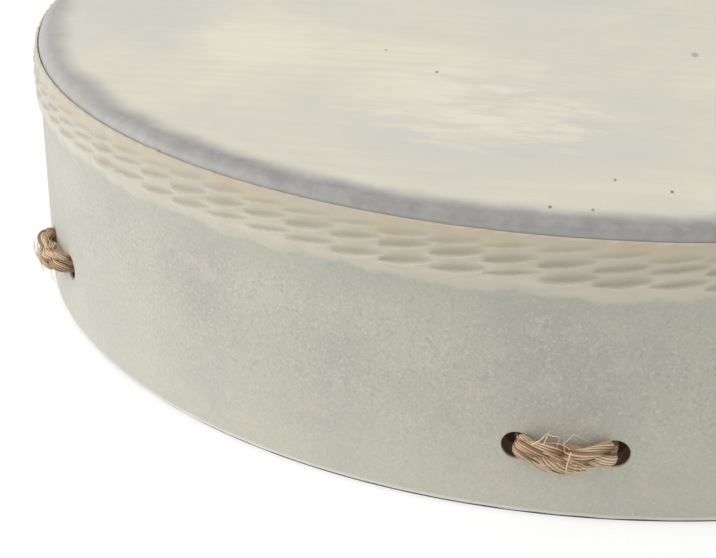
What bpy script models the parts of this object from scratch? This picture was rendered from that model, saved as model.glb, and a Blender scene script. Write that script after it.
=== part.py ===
"""Buffalo drum: a hand-held frame drum with a film head and a rope grip across its open back.

Metres, +Z up. The drum stands on its back edge with the head facing up. The origin is the
centre of the back edge's plane, and one pair of rope holes faces -Y.
"""

from math import acos, asin, atan2, cos, hypot, pi, radians, sin, tau

import bmesh
import bpy
import numpy as np
from mathutils import Matrix

# Clearance between pieces that touch
GAP = 0.0003

# Shell, a hoop of laminated fibre board
DRUM_RADIUS = 0.2032
DRUM_DEPTH = 0.0889  # back edge to playing surface
SHELL_WALL = 0.0060
BEARING_ROUND = 0.0035  # round-over that the head bends over
EDGE_EASE = 0.0008  # sanded corners

# Head, one film turned down over the bearing edge
FILM = 0.0004
SKIRT_DEPTH = 0.0219  # playing surface to the lower end of the turned-down part
FOLDS = 0.0009  # thickness that the gathered folds add to the skirt
FOLD_START = 0.0043  # playing surface to the first folds
FOLD_TAPER = 0.0025  # height over which the folds grow or thin out

# Sleeve of felt round the shell and over the head's skirt
FELT = 0.0008
FELT_TOP = 0.0033  # playing surface down to the sleeve's upper edge
FELT_HEM = 0.0006  # back edge up to the sleeve's lower edge
FELT_SLOPE = 0.0022  # height over which the sleeve climbs out to the skirt's end

# Holes through shell and sleeve, in pairs, one pair for each rope loop
PAIRS = 6
WEB_HEIGHT = 0.0222  # plane of the holes, the rope web and the grip
HOLE_RADIUS = 0.00425
HOLE_SPACING = 0.0270  # centre to centre, at the sleeve's surface

# Rope loops
ROPE_RADIUS = 0.00375
PINCHED_RADIUS = 0.00275  # where a hole squeezes the rope
STITCH_LIFT = 0.0007  # air between the outside stitch and the sleeve
STITCH_REACH = 0.0030  # how far the rope stands out of a hole where it bends over
STITCH_LEAN = 0.0006  # how far it leans over the stitch there
SHOULDER_RADIUS = 0.0030  # how thick it is there
LEG_LEAD = 0.0110  # how far a leg runs straight on inside the shell
LEG_SHARES = (0.35, 0.7, 1)  # points from there to the seizing
EYE_NECK = 0.0062  # from the eye round the grip to the seizing

# Grip, a rope ring wound with twine
GRIP_RADIUS = 0.0400
GRIP_ROPE_RADIUS = 0.0035
SERVING_TWINE_RADIUS = 0.0009
SERVING_TURNS = 24

# Seizings, which bind the two legs of each loop beside the grip
SEIZING_TWINE_RADIUS = 0.0011
SEIZING_TURNS = 4
SEIZING_PITCH = 0.0028

# Fineness of the surfaces
HOOP_STEPS = 84
ROUND_STEPS = 4
HOLE_SIDES = 16
GRIP_STEPS = 48
GRIP_SIDES = 10
SERVING_TURN_STEPS = 9
SEIZING_CAP_STEPS = 4
ROPE_TURN = radians(24)  # most that a rope turns between two points
ROPE_STEP = 6 * ROPE_RADIUS  # most that it runs between two points
ROPE_SWELL = ROPE_RADIUS / 8  # most that its radius changes between two points
EYE_STEPS = 4
SPAN_SAMPLES = 16
SMOOTH_ANGLE = radians(35)
WELD = 1e-6

# Colours as they look under plain light, 0 to 255
BOARD_COLOUR = (92, 84, 74)
FILM_COLOUR = (212, 208, 194)
FELT_COLOUR = (189, 186, 172)
ROPE_COLOUR = (200, 165, 130)
TWINE_COLOUR = (214, 190, 150)

# Sizes that follow
hoop_inside = DRUM_RADIUS - SHELL_WALL
hoop_top = DRUM_DEPTH - FILM - GAP
skirt_inside = DRUM_RADIUS + GAP
skirt_outside = skirt_inside + FILM
skirt_end = DRUM_DEPTH - SKIRT_DEPTH
folds_top = DRUM_DEPTH - FOLD_START
sleeve_inside = DRUM_RADIUS + GAP
sleeve_outside = sleeve_inside + FELT
sleeve_top = DRUM_DEPTH - FELT_TOP

# The taut stitch lies against the near side of each hole
hole_angle = asin(HOLE_SPACING / 2 / sleeve_outside)
hole_flat = HOLE_RADIUS * cos(pi / HOLE_SIDES)
rope_offset = hole_flat - PINCHED_RADIUS - GAP
stitch_outward = sleeve_outside + ROPE_RADIUS + STITCH_LIFT

# A cord of few points cuts the corners of a round, so its points stand out a little further
serving_round = (GRIP_ROPE_RADIUS + GAP + SERVING_TWINE_RADIUS) / cos(pi / SERVING_TURN_STEPS)
seizing_round = (ROPE_RADIUS + GAP + SEIZING_TWINE_RADIUS) / cos(pi / 2 / SEIZING_CAP_STEPS)
eye_round = (serving_round + SERVING_TWINE_RADIUS + GAP + ROPE_RADIUS) / cos(ROPE_TURN / 2)
leg_height = ROPE_RADIUS + GAP / 2  # of each leg above or below the web's plane
seizing_start = GRIP_RADIUS + eye_round + EYE_NECK
seizing_length = SEIZING_TURNS * SEIZING_PITCH


def linear(value):
    """A colour channel as it looks, 0 to 255, in linear light."""
    share = value / 255
    return share / 12.92 if share <= 0.04045 else ((share + 0.055) / 1.055) ** 2.4


def material(name, colour, roughness):
    made = bpy.data.materials.new(name)
    made.use_nodes = True
    shader = made.node_tree.nodes["Principled BSDF"]
    shader.inputs["Base Color"].default_value = (*map(linear, colour), 1)
    shader.inputs["Roughness"].default_value = roughness
    shader.inputs["Metallic"].default_value = 0
    made.diffuse_color = (*map(linear, colour), 1)
    return made


def place(name, data, turn=0.0, parent=None):
    """Add an object that shows this mesh or curve, turned about Z."""
    made = bpy.data.objects.new(name, data)
    made.rotation_euler = (0, 0, turn)
    made.parent = parent
    bpy.context.scene.collection.objects.link(made)
    return made


def arc(centre, radius, start, end, steps):
    """Points (radius, height) on an arc between two angles in degrees, 0 being straight outward."""
    angles = np.radians(np.linspace(start, end, steps + 1))
    return [(centre[0] + radius * cos(a), centre[1] + radius * sin(a)) for a in angles]


def shaded(name, shape, finish):
    """Turn a bmesh into a smooth mesh with one material."""
    mesh = bpy.data.meshes.new(name)
    shape.to_mesh(mesh)
    shape.free()
    mesh.shade_smooth()
    mesh.set_sharp_from_angle(angle=SMOOTH_ANGLE)
    mesh.materials.append(finish)
    return mesh


def turned(name, outline, finish, steps=HOOP_STEPS):
    """Spin an outline of (radius, height) about Z. It is closed, or begins and ends on the axis."""
    shape = bmesh.new()
    corners = [shape.verts.new((radius, 0, height)) for radius, height in outline]
    sides = [shape.edges.new(pair) for pair in zip(corners, corners[1:])]
    if outline[0][0] > 0:
        sides.append(shape.edges.new((corners[-1], corners[0])))
    bmesh.ops.spin(
        shape,
        geom=corners + sides,
        cent=(0, 0, 0),
        axis=(0, 0, 1),
        angle=tau,
        steps=steps,
        use_merge=True,
    )
    bmesh.ops.remove_doubles(shape, verts=shape.verts, dist=WELD)
    bmesh.ops.recalc_face_normals(shape, faces=shape.faces)
    return shaded(name, shape, finish)


def shell_outline():
    bend = (DRUM_RADIUS - BEARING_ROUND, hoop_top - BEARING_ROUND)
    return [
        (hoop_inside + EDGE_EASE, 0),
        (DRUM_RADIUS - EDGE_EASE, 0),
        (DRUM_RADIUS, EDGE_EASE),
        *arc(bend, BEARING_ROUND, 0, 90, ROUND_STEPS),
        (hoop_inside + EDGE_EASE, hoop_top),
        (hoop_inside, hoop_top - EDGE_EASE),
        (hoop_inside, EDGE_EASE),
    ]


def head_outline():
    """The film: flat, round over the bearing edge, and down to a skirt that its folds thicken."""
    bend = (DRUM_RADIUS - BEARING_ROUND, hoop_top - BEARING_ROUND)
    return [
        (0, DRUM_DEPTH),
        *arc(bend, BEARING_ROUND + GAP + FILM, 90, 0, ROUND_STEPS),
        (skirt_outside, folds_top),
        (skirt_outside + FOLDS, folds_top - FOLD_TAPER),
        (skirt_outside + FOLDS, skirt_end + FOLD_TAPER),
        (skirt_outside, skirt_end),
        (skirt_inside, skirt_end),
        *arc(bend, BEARING_ROUND + GAP, 0, 90, ROUND_STEPS),
        (0, DRUM_DEPTH - FILM),
    ]


def sleeve_outline():
    """The felt: up the shell, out over the skirt's end and folds, and in again to its upper edge."""
    over = skirt_outside + GAP
    inner = [
        (sleeve_inside, FELT_HEM),
        (sleeve_inside, skirt_end - GAP - FELT_SLOPE),
        (over, skirt_end - GAP),
        (over + FOLDS, skirt_end + FOLD_TAPER),
        (over + FOLDS, folds_top - FOLD_TAPER),
        (over, folds_top),
        (over, sleeve_top),
    ]
    outer = [(radius + FELT, height) for radius, height in inner[:-1]]
    lip = (over + FELT / 2, sleeve_top)
    return inner + [lip] + outer[::-1]


def hole_drill():
    """Cutter for all the holes, a pair of cylinders square to the shell for each rope loop."""
    reach = 3 * HOLE_RADIUS
    middle = (hoop_inside + sleeve_outside) / 2
    lie = Matrix.Translation((0, -middle, WEB_HEIGHT)) @ Matrix.Rotation(pi / 2, 4, "X")
    shape = bmesh.new()
    for number in range(PAIRS):
        for side in (-hole_angle, hole_angle):
            turn = Matrix.Rotation(tau * number / PAIRS + side, 4, "Z")
            bmesh.ops.create_cone(
                shape,
                cap_ends=True,
                segments=HOLE_SIDES,
                radius1=HOLE_RADIUS,
                radius2=HOLE_RADIUS,
                depth=sleeve_outside - hoop_inside + 2 * reach,
                matrix=turn @ lie,
            )
    mesh = bpy.data.meshes.new("hole_drill")
    shape.to_mesh(mesh)
    shape.free()
    drill = place("hole_drill", mesh)
    drill.hide_render = True
    drill.display_type = "WIRE"
    return drill


def drill_through(piece, drill):
    cut = piece.modifiers.new("rope_holes", "BOOLEAN")
    cut.operation = "DIFFERENCE"
    cut.solver = "EXACT"
    cut.object = drill


def in_hole(distance, radius):
    """Where the rope crosses the shell at this distance from the drum's axis."""
    outward = distance * cos(hole_angle) + rope_offset * sin(hole_angle)
    sideways = distance * sin(hole_angle) - rope_offset * cos(hole_angle)
    return outward, sideways, 0, radius


def rope_side():
    """Half of a rope loop: from its outside stitch through a hole, in to the seizing and the eye.

    Rows of outward, sideways, height above the web's plane, and radius.
    """
    mouth = in_hole(sleeve_outside, PINCHED_RADIUS)
    leg = in_hole(hoop_inside - LEG_LEAD, ROPE_RADIUS)
    rows = [
        (stitch_outward, mouth[1] / 3, 0, ROPE_RADIUS),
        (mouth[0] + STITCH_REACH, mouth[1] - STITCH_LEAN, 0, SHOULDER_RADIUS),
        mouth,
        in_hole(hoop_inside, PINCHED_RADIUS),
        leg,
    ]
    # The two legs close in on each other sideways later than they part in height
    leg_end = seizing_start + seizing_length + SEIZING_PITCH
    for share in LEG_SHARES:
        outward = leg[0] + share * (leg_end - leg[0])
        rise = 1 - (1 - share) ** 2
        rows.append((outward, (1 - share) * leg[1], rise * leg_height, ROPE_RADIUS))
    rows.append((seizing_start - SEIZING_PITCH / 2, 0, leg_height, ROPE_RADIUS))
    # From there the leg runs straight to where it is tangent to the eye
    away = (seizing_start - GRIP_RADIUS, leg_height)
    tangent = atan2(away[1], away[0]) + acos(eye_round / hypot(*away))
    for angle in np.linspace(tangent, pi, EYE_STEPS, endpoint=False):
        outward = GRIP_RADIUS + eye_round * cos(angle)
        rows.append((outward, 0, eye_round * sin(angle), ROPE_RADIUS))
    return rows


def rope_route():
    """A whole loop, which leaves one hole over the grip and comes back under it to the other."""
    over = np.array(rope_side())
    under = over[::-1] * (1, -1, -1, 1)
    stitch = (stitch_outward, 0, 0, ROPE_RADIUS)
    bight = (GRIP_RADIUS - eye_round, 0, 0, ROPE_RADIUS)
    return np.vstack([stitch, over, bight, under])


def smooth(route):
    """Points close together on a smooth closed curve through the route's rows."""
    ahead = np.roll(route, -1, axis=0) - route
    span = np.sqrt(np.linalg.norm(ahead[:, :3], axis=1))[:, None]
    before = np.roll(span, 1, axis=0)
    slope = (np.roll(ahead / span, 1, axis=0) * span + ahead / span * before) / (span + before)
    share = np.linspace(0, 1, SPAN_SAMPLES, endpoint=False)[:, None]
    rest = 1 - share
    made = []
    for here in range(len(route)):
        after = (here + 1) % len(route)
        made.append(
            (1 + 2 * share) * rest**2 * route[here]
            + share * rest**2 * span[here] * slope[here]
            + share**2 * (3 - 2 * share) * route[after]
            - share**2 * rest * span[here] * slope[after]
        )
    return np.vstack(made)


def thinned(points):
    """The fewest points that keep within the rope's turn, step and swell."""
    runs = np.roll(points, -1, axis=0)[:, :3] - points[:, :3]
    ways = runs / np.linalg.norm(runs, axis=1)[:, None]
    turns = np.arccos(np.clip((ways * np.roll(ways, 1, axis=0)).sum(axis=1), -1, 1))
    kept = [0]
    turn = 0
    for k in range(1, len(points)):
        turn += turns[k]
        step = np.linalg.norm(points[k, :3] - points[kept[-1], :3])
        swell = abs(points[k, 3] - points[kept[-1], 3])
        if turn > ROPE_TURN or step > ROPE_STEP or swell > ROPE_SWELL:
            kept.append(k)
            turn = 0
    return points[kept]


def cord(name, points, radius, closed, finish, swells=None):
    """A tube of this radius along these points."""
    curve = bpy.data.curves.new(name, "CURVE")
    curve.dimensions = "3D"
    curve.bevel_depth = radius
    curve.use_fill_caps = not closed
    curve.render_resolution_u = 0
    curve.materials.append(finish)
    spline = curve.splines.new("POLY")
    spline.points.add(len(points) - 1)
    spline.points.foreach_set("co", np.column_stack([points, np.ones(len(points))]).ravel())
    if swells is not None:
        spline.points.foreach_set("radius", swells)
    spline.use_cyclic_u = closed
    spline.use_smooth = True
    return curve


def rope_loop(finish):
    points = thinned(smooth(rope_route()))
    outward, sideways, height, radius = points.T
    path = np.column_stack([sideways, -outward, height + WEB_HEIGHT])
    curve = cord("rope_loop", path, ROPE_RADIUS, True, finish, radius / ROPE_RADIUS)
    curve.bevel_resolution = 2
    return curve


def seizing(finish):
    """Twine wound on the two legs of a loop, one above the other, with its ends left straight."""
    quarter = np.linspace(-pi / 2, pi / 2, SEIZING_CAP_STEPS + 1)
    lap = np.concatenate([quarter + pi / 2, quarter + 3 * pi / 2])
    lift = np.repeat([leg_height, -leg_height], SEIZING_CAP_STEPS + 1)
    rows = []
    for turn in range(SEIZING_TURNS):
        for place_in_lap, (angle, up) in enumerate(zip(lap, lift)):
            along = seizing_start + SEIZING_PITCH * (turn + place_in_lap / len(lap))
            rows.append((seizing_round * cos(angle), -along, seizing_round * sin(angle) + up))
    first, last = rows[0], rows[-1]
    tail = 2 * SEIZING_TWINE_RADIUS
    rows.insert(0, (first[0], first[1], first[2] - tail))
    rows.append((last[0], last[1], last[2] + tail))
    curve = cord("seizing", np.array(rows), SEIZING_TWINE_RADIUS, False, finish)
    curve.bevel_resolution = 1
    return curve


def serving(finish):
    """Twine wound all the way round the grip's rope, its two ends spliced into each other."""
    steps = SERVING_TURNS * SERVING_TURN_STEPS
    rows = []
    for step in range(steps):
        around = tau * step / steps
        lap = SERVING_TURNS * around
        reach = GRIP_RADIUS + serving_round * cos(lap)
        rows.append((reach * sin(around), -reach * cos(around), serving_round * sin(lap)))
    curve = cord("ring_serving", np.array(rows), SERVING_TWINE_RADIUS, True, finish)
    curve.bevel_resolution = 1
    return curve


def least_gap(curve, turns):
    """The least air between the turns of a wound cord, from points close together along it."""
    spline = curve.splines[0]
    points = np.array([point.co[:3] for point in spline.points])
    if spline.use_cyclic_u:
        points = np.vstack([points, points[:1]])
    spans = zip(points, points[1:])
    fine = np.vstack([np.linspace(a, b, SPAN_SAMPLES, endpoint=False) for a, b in spans])
    along = np.append(0, np.cumsum(np.linalg.norm(np.diff(fine, axis=0), axis=1)))
    least = along[-1]
    for point, place_along in zip(fine, along):
        apart = abs(along - place_along)
        if spline.use_cyclic_u:
            apart = np.minimum(apart, along[-1] - apart)
        others = fine[apart > along[-1] / turns / 2]
        least = min(least, np.linalg.norm(others - point, axis=1).min())
    return least - 2 * curve.bevel_depth


def clear_scene():
    for thing in list(bpy.data.objects):
        bpy.data.objects.remove(thing, do_unlink=True)


def build():
    clear_scene()
    board = material("fibre_board", BOARD_COLOUR, 0.8)
    film = material("head_film", FILM_COLOUR, 0.45)
    felt = material("grey_felt", FELT_COLOUR, 0.95)
    rope = material("plant_fibre_rope", ROPE_COLOUR, 0.85)
    twine = material("pale_twine", TWINE_COLOUR, 0.8)

    drill = hole_drill()
    shell = place("shell_hoop", turned("shell_hoop", shell_outline(), board))
    drill_through(shell, drill)
    place("head_film", turned("head_film", head_outline(), film))
    sleeve = place("felt_sleeve", turned("felt_sleeve", sleeve_outline(), felt))
    drill_through(sleeve, drill)

    loop = rope_loop(rope)
    for number in range(PAIRS):
        place(f"rope_loop_{number + 1}", loop, tau * number / PAIRS)

    # The grip slides along Z, so its pieces hang from an empty at its centre
    grip = place("grip_centre", None)
    grip.location = (0, 0, WEB_HEIGHT)
    round_rope = arc((GRIP_RADIUS, 0), GRIP_ROPE_RADIUS, 0, 360, GRIP_SIDES)[:-1]
    place("grip_ring", turned("grip_ring", round_rope, rope, GRIP_STEPS), parent=grip)
    wound = serving(twine)
    place("grip_serving", wound, parent=grip)
    bound = seizing(twine)
    for number in range(PAIRS):
        place(f"seizing_{number + 1}", bound, tau * number / PAIRS, grip)

    for curve, turns in ((wound, SERVING_TURNS), (bound, SEIZING_TURNS)):
        print(f"{curve.name}: least gap between turns {least_gap(curve, turns) * 1000:.2f} mm")


build()
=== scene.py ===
from math import acos, asin, atan2, cos, hypot, pi, radians, sin, tau

import bmesh
import bpy
import numpy as np
from mathutils import Matrix, Vector


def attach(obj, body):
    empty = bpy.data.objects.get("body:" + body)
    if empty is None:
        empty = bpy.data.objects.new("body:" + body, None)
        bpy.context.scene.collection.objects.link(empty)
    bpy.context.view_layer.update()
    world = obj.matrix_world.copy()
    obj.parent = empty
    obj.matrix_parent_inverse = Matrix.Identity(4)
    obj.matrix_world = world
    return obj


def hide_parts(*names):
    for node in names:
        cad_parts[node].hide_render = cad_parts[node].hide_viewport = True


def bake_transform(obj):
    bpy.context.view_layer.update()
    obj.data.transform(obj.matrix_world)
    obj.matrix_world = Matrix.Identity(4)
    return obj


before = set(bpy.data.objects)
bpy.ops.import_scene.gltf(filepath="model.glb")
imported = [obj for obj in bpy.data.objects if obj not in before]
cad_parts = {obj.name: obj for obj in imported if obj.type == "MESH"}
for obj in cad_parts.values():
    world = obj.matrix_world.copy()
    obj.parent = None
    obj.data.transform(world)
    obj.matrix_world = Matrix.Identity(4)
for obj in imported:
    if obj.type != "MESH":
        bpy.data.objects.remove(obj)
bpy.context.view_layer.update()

# Metres, +Z up, as in the frame. Azimuth 0 is the front, -Y, and it grows towards +X.

# Sizes of the construction that the fine surfaces repeat
GAP = 0.0003
DRUM_RADIUS = 0.2032
DRUM_DEPTH = 0.0889
SHELL_WALL = 0.0060
BEARING_ROUND = 0.0035
EDGE_EASE = 0.0008
FILM = 0.0004
SKIRT_DEPTH = 0.0219
FOLDS = 0.0009
FOLD_START = 0.0043
FOLD_TAPER = 0.0025
FELT = 0.0008
FELT_TOP = 0.0033
FELT_SLOPE = 0.0022
PAIRS = 6
WEB_HEIGHT = 0.0222
HOLE_RADIUS = 0.00425
HOLE_SPACING = 0.0270
HOLE_SIDES = 16
ROPE_RADIUS = 0.00375
PINCHED_RADIUS = 0.00275
STITCH_LIFT = 0.0007
STITCH_REACH = 0.0030
STITCH_LEAN = 0.0006
SHOULDER_RADIUS = 0.0030
LEG_LEAD = 0.0110
LEG_SHARES = (0.35, 0.7, 1)
EYE_NECK = 0.0062
EYE_STEPS = 4
ROPE_TURN = radians(24)
GRIP_RADIUS = 0.0400
GRIP_ROPE_RADIUS = 0.0035
SERVING_TWINE_RADIUS = 0.0009
SERVING_TURN_STEPS = 9
SEIZING_TWINE_RADIUS = 0.0011
SEIZING_TURNS = 4
SEIZING_PITCH = 0.0028
SEIZING_CAP_STEPS = 4

# Where the fine surfaces leave the construction
BACK_EASE = 0.0002  # the hoop's outer back corner, sharper, so that its dark edge shows
FELT_HEM = 0.0013  # the sleeve's lower edge, higher for the same reason
STITCH_RISE = 0.0018  # how far an outside stitch bows up near its holes
MIDDLE_RISE = 0.25  # the share of that rise beside the stitch's middle
MOUTH_RISE = 0.38  # and at the mouth of a hole

hoop_inside = DRUM_RADIUS - SHELL_WALL
hoop_top = DRUM_DEPTH - FILM - GAP
bend = (DRUM_RADIUS - BEARING_ROUND, hoop_top - BEARING_ROUND)
skirt_inside = DRUM_RADIUS + GAP
skirt_outside = skirt_inside + FILM
skirt_end = DRUM_DEPTH - SKIRT_DEPTH
folds_top = DRUM_DEPTH - FOLD_START
sleeve_inside = DRUM_RADIUS + GAP
sleeve_outside = sleeve_inside + FELT
sleeve_top = DRUM_DEPTH - FELT_TOP
hole_angle = asin(HOLE_SPACING / 2 / sleeve_outside)
rope_offset = HOLE_RADIUS * cos(pi / HOLE_SIDES) - PINCHED_RADIUS - GAP
stitch_outward = sleeve_outside + ROPE_RADIUS + STITCH_LIFT
serving_round = (GRIP_ROPE_RADIUS + GAP + SERVING_TWINE_RADIUS) / cos(pi / SERVING_TURN_STEPS)
seizing_round = (ROPE_RADIUS + GAP + SEIZING_TWINE_RADIUS) / cos(pi / 2 / SEIZING_CAP_STEPS)
eye_round = (serving_round + SERVING_TWINE_RADIUS + GAP + ROPE_RADIUS) / cos(ROPE_TURN / 2)
leg_height = ROPE_RADIUS + GAP / 2
seizing_start = GRIP_RADIUS + eye_round + EYE_NECK
seizing_length = SEIZING_TURNS * SEIZING_PITCH

# Fineness
SLEEVE_STEPS = 1440
FELT_ROWS = 22
COLLAR_ROWS = 54
HOOP_STEPS = 480
BOARD_BEND_STEPS = 12
FILM_BEND_STEPS = 16
FILM_RINGS = 24
FILM_UNDER_RINGS = 12
FILM_MIDDLE = 0.01  # radius of the film's smallest ring
FILM_BEND_LEAD = 0.002  # from its largest flat ring to the bend
HOLE_SEGMENTS = 64
ROUTE_SAMPLES = 40
ROPE_SAMPLE = 0.0008
STRAND_SIDES = 45
SMOOTH_ANGLE = radians(40)

# Ripples that the head's gathered skirt presses through the sleeve
RIPPLES = 90
RIPPLE_ROWS = (
    # height at the left end, rise to the right end, share of a pitch, depth, half height
    (0.0736, 0.0021, 0.29, 0.00095, 0.00150),
    (0.0778, 0.0023, 0.26, 0.00090, 0.00145),
    (0.0813, 0.0018, 0.22, 0.00050, 0.00120),
)
RIPPLE_LIFT = 0.00030  # spread of their heights
RIPPLE_SIZES = (0.65, 1.25)
RIPPLE_SHIFT = 0.03  # spread of their places, in pitches
RIPPLE_LEAD = 0.04  # how far one starts before its place, in pitches
RIPPLE_LENGTH = 1.12  # in pitches
RIPPLE_END = 0.45  # height at its ends, as a share of that at its middle
# The section of one, in half heights from its middle
DENT_TOP = 1.7
DENT_FALL = 2.3
DENT_FOOT = -1.0
DENT_STEP = 0.35
CREST_PLACE = -1.25
CREST_WIDTH = 0.45
CREST_SHARE = 0.4  # of the dent's depth
SHADED_DEPTH = 0.0006  # a ripple as deep as this gets the full painted shade

# The sleeve's cloth
CLOTH_ROUND = 0.0015  # how far the cloth rounds a corner under it, each way
LIP_DROP = 0.0003
COLLAR_UNEVEN = 0.00006
UNEVEN_START = 0.066
TOP_RAGGED = 0.00016
HEM_RAGGED = 0.00005
COLLAR_RAGGED = 0.00060
COLLAR_BLEND = 0.0028

# Heights on the sleeve where its look changes
COLLAR_END = 0.0692  # where the smooth collar gives way to plain felt
COLLAR_SHADE = 0.016  # how far under the collar the felt grows darker
FELT_FOOT = 0.045  # the felt grows paler from here down
HEM_HIGHLIGHT_START = 0.0018  # up to here the painted highlight along the hem is brightest
HEM_HIGHLIGHT_END = 0.0026

# The film's look
STREAK_TURN = radians(-10)
RIM_BAND_START = 0.1905  # distance from the middle where the greyer band sets in
RIM_BAND_FULL = 0.2000
RIM_BAND_RAGGED = 0.0014
RIM_LIT_FULL = -0.195  # painted light: the band is paler at the left, where the light falls from the left, from this X
RIM_LIT_END = -0.09  # to this one
CREASE_SHADE = 0.0014  # how far under the top the tone by the crease starts
CLOUD_STRAY = 0.016  # how far a cloud's edge strays
# Creamier clouds in the film: x, y, size and weight
CLOUDS = (
    (-0.054, -0.104, 0.030, 0.40),
    (-0.010, -0.096, 0.020, 0.22),
    (-0.034, -0.079, 0.024, 0.35),
    (-0.029, -0.137, 0.026, 0.35),
    (-0.046, -0.121, 0.026, 0.40),
    (-0.019, -0.124, 0.026, 0.55),
    (-0.114, -0.066, 0.032, 0.40),
)
# Specks on the film: x, y, size, colour and weight
SPECKS = (
    (0.0335, -0.0499, 0.0017, (158, 155, 148), 0.8),
    (-0.0506, -0.0844, 0.0007, (112, 104, 92), 0.9),
    (-0.0703, -0.0636, 0.0006, (120, 112, 100), 0.8),
    (0.0080, -0.1702, 0.0006, (112, 104, 92), 0.8),
    (-0.0087, -0.1926, 0.0007, (104, 96, 84), 0.9),
    (0.0025, -0.1927, 0.0006, (112, 102, 88), 0.8),
    (0.0233, -0.1763, 0.0007, (112, 104, 92), 0.9),
)
SPECK_SHARE = 0.45  # a speck's width, as a share of its length along Y

# The board's back edge is greyer between these heights
BACK_GREY_FULL = 0.0012
BACK_GREY_END = 0.0022

# Depths of the finest relief
FINE_GRAIN = 0.0003
COARSE_GRAIN = 0.0004

# Fibres of a strand
FIBRES = 15  # ridges round a strand
FIBRE_RUN = 0.007  # how far a ridge keeps its height
FIBRE_WIND = 0.034  # how far a fibre takes to wind once round its strand
FIBRE_STRETCH = (1.6, 0.5, 1)  # of their streaks, around and along
RED_STRETCH = (1.6 * 0.7, 0.5 * 0.6, 1)

# The plait
PLAIT_PERIOD = 0.0380
PLAIT_WIDTH = 0.44  # of the rope's radius, how far a strand swings to each side
PLAIT_THICKNESS = 0.30  # and how far it dips and rises
STRAND_SIZE = 0.50  # its radius, to the rope's
STRAND_UNEVEN = 0.06
STRAND_FLAT = 1.12  # its width, to its mean
STRAND_RIDGES = 0.20
LOOSE_SIZE = 0.10  # outside the sleeve the plait springs open by these shares
LOOSE_SWING = 0.22
FLAT_REACH = 0.09  # distance from the drum's axis where the plait lies flat
EDGE_REACH = 0.16  # and where it stands on edge

# Loose fibres
SURFACE_FIBRES = 22  # that lie across each stitch
SURFACE_SIDE = (-0.0095, 0.0035)  # where one starts
SURFACE_RISE = (-0.0005, 0.0035)
SURFACE_RUN = (0.003, 0.008)  # how far it goes sideways
SURFACE_FALL = (0.3, 0.9)  # and down, to that
SURFACE_LOWEST = -0.0030
SURFACE_BOW = 0.0008
SURFACE_THICKNESS = (0.00007, 0.00016)
SURFACE_TONES = (0.2, 1.2)
STRAY_FIBRES = 7  # that stand out of a stitch
STRAY_SIDE = 0.011
STRAY_OUT = (0.003, 0.0075)  # from the sleeve
STRAY_START = 0.003  # above or below the web
STRAY_CLIMB = (0.0006, 0.0026)
STRAY_THICKNESS = (0.0001, 0.0002)
LOOSE_TONE = 1.3
HAIR_SPOTS = 9  # points to each one of a fibre's path
HAIR_SMOOTHING = 4
HAIR_SIDES = 6
# The ones seen on the front stitch: thickness, then (outward, sideways, height)
FRONT_HAIRS = (
    (0.00022, (
        (0.2110, -0.0090, 0.0272), (0.2133, -0.0069, 0.0299), (0.2138, -0.0053, 0.0323),
        (0.2138, -0.0042, 0.0335),
    )),
    (0.00015, (
        (0.2105, -0.0060, 0.0268), (0.2113, -0.0048, 0.0310), (0.2118, -0.0037, 0.0307),
        (0.2123, -0.0025, 0.0312), (0.2123, -0.0015, 0.0305), (0.2123, -0.0023, 0.0283),
        (0.2120, -0.0021, 0.0268),
    )),
    (0.00011, (
        (0.2120, -0.0001, 0.0262), (0.2133, -0.0005, 0.0296), (0.2138, -0.0005, 0.0318),
    )),
    (0.00012, (
        (0.2125, -0.0006, 0.0290), (0.2138, 0.0020, 0.0331), (0.2133, 0.0041, 0.0318),
        (0.2123, 0.0063, 0.0302),
    )),
    (0.00016, (
        (0.2105, -0.0125, 0.0215), (0.2083, -0.0091, 0.0177), (0.2083, -0.0069, 0.0164),
        (0.2073, -0.0053, 0.0151),
    )),
    # The one that is tied round the stitch
    (0.00024, (
        (0.2118, 0.0016, 0.0262), (0.2130, 0.0010, 0.0244), (0.2132, 0.0007, 0.0225),
        (0.2118, 0.0007, 0.0190), (0.2100, 0.0009, 0.0183),
    )),
)

# The grip's ring and twine
RING_STEPS = 400
RING_LAYS = 18
RING_STRAND_PLACE = 0.45  # from the ring rope's middle, in its radii
RING_STRAND_SIZE = 0.52
RING_STRAND_SIDES = 12
TWINE_TONE = 0.6
SERVING_CLOSENESS = 1.02
SERVING_STEPS = 12  # in a turn
SERVING_SIDES = 8
SEIZING_STEP = 2.04  # from turn to turn, in twine radii
SEIZING_CAP_SPOTS = 13
SEIZING_SAMPLE = 0.0008
SEIZING_SIDES = 10

# Camera, as the photograph was taken
IMAGE_WIDTH = 716
FOCAL_PIXELS = 1606.0
SENSOR = 36.0
CAMERA_PLACE = Vector((0, -0.58611, 0.25209))
CAMERA_PAN = -0.15037
CAMERA_TILT = 0.44201
CAMERA_ROLL = 0.01024
CLIP_START = 0.01

# Floor and light
AMBIENT = 0.60
FLOOR_SIZE = 6
FLOOR_DROP = 0.0002
FLOOR_COLOUR = 0.86
FLOOR_SHARE = 0.30  # of the floor's look that comes from light on it
FLOOR_GLOW = 0.76
UNDER_DRUM_SHADE = (0.030, 0.017, 0.011, 1)  # painted shade: the floor under the drum, dark brown as in the drum's own shadow
AIM_HEIGHT = 0.04
LAMPS = (
    # name, place, watts and size
    ("left_window", (-1.68, -0.32, 0.7), 16.5, 1.2),
    ("front_fill", (0.6, -1.9, 0.7), 6.5, 1.6),
    ("top_panel", (-0.2, 0.2, 1.8), 4.5, 1.4),
)
THROUGH_HEAD = 0.6  # watts that the film lets through to the inside
THROUGH_COLOUR = (1, 0.88, 0.72)
THROUGH_DROP = 0.002
THROUGH_SHARE = 1.8  # the lamp's size, in inner radii of the hoop


def linear(value):
    """A colour channel as it looks, 0 to 255, in linear light."""
    share = value / 255
    return share / 12.92 if share <= 0.04045 else ((share + 0.055) / 1.055) ** 2.4


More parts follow.
